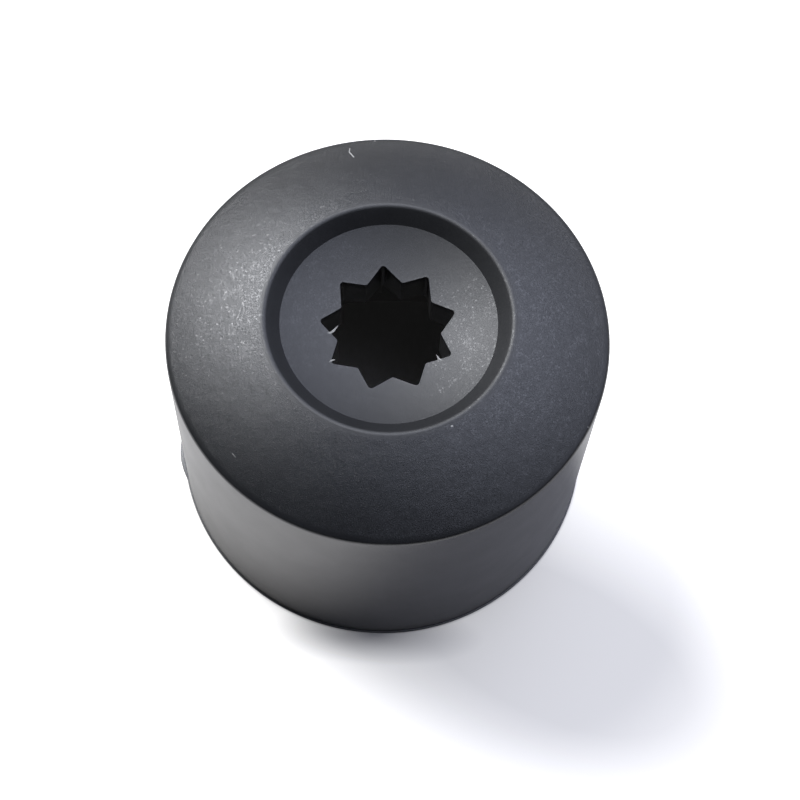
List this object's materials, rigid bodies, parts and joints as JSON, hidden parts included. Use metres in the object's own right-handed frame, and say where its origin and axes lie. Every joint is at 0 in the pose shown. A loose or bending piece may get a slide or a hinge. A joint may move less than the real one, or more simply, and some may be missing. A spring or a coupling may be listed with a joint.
{
  "type": "wheel nut cover cap",
  "caption": "Round push-on cap that hides a wheel bolt head: tapered skirt, domed crown, dished recess with a star-shaped puller opening, ribbed hexagon socket underneath.",
  "frame": {"origin": "centre of the foot of the skirt, on the plane that the cap stands on", "axes": "+Z along the cap's axis, from the open foot to the crown; +Y towards one point of the star"},
  "size_m": [0.0242, 0.024, 0.018],
  "materials": {
    "cap_plastic": "black moulded polyamide, fine spark-eroded grain on the crown, satin skirt"
  },
  "bodies": {
    "root": {"cap": "cap_plastic"}
  },
  "joints": []
}
